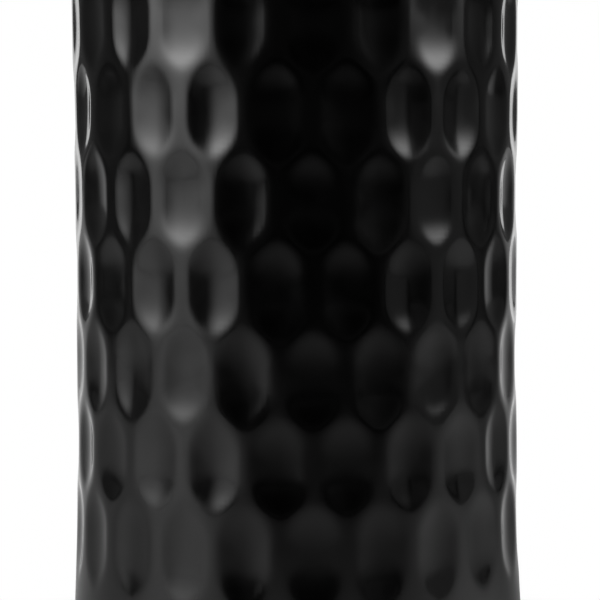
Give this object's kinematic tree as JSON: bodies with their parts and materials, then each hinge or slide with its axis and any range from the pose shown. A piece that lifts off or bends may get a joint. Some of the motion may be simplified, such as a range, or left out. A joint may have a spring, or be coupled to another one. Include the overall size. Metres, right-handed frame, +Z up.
{
  "type": "black clay vase",
  "caption": "Tall round burnished black clay pot with staggered rows of pressed oval hollows, a lift-out water liner and felt pads under the foot.",
  "frame": {"origin": "on the pot's axis, in the plane that the undersides of the felt pads rest on", "axes": "+Z up along the pot's axis, -Y towards the front"},
  "size_m": [0.1554, 0.1554, 0.3933],
  "materials": {
    "black_clay": "burnished, semi-gloss outside and matte inside",
    "liner_plastic": "matte moulded",
    "black_felt": "pressed felt"
  },
  "bodies": {
    "pot": {"pot_body": "black_clay", "felt_pad_1": "black_felt", "felt_pad_2": "black_felt", "felt_pad_3": "black_felt", "felt_pad_4": "black_felt"},
    "liner": {"water_liner": "liner_plastic"}
  },
  "joints": [
    {"name": "liner_lift", "type": "slide", "parent": "pot", "child": "liner", "axis": [0, 0, 1], "range_m": [0, 0.39]}
  ]
}
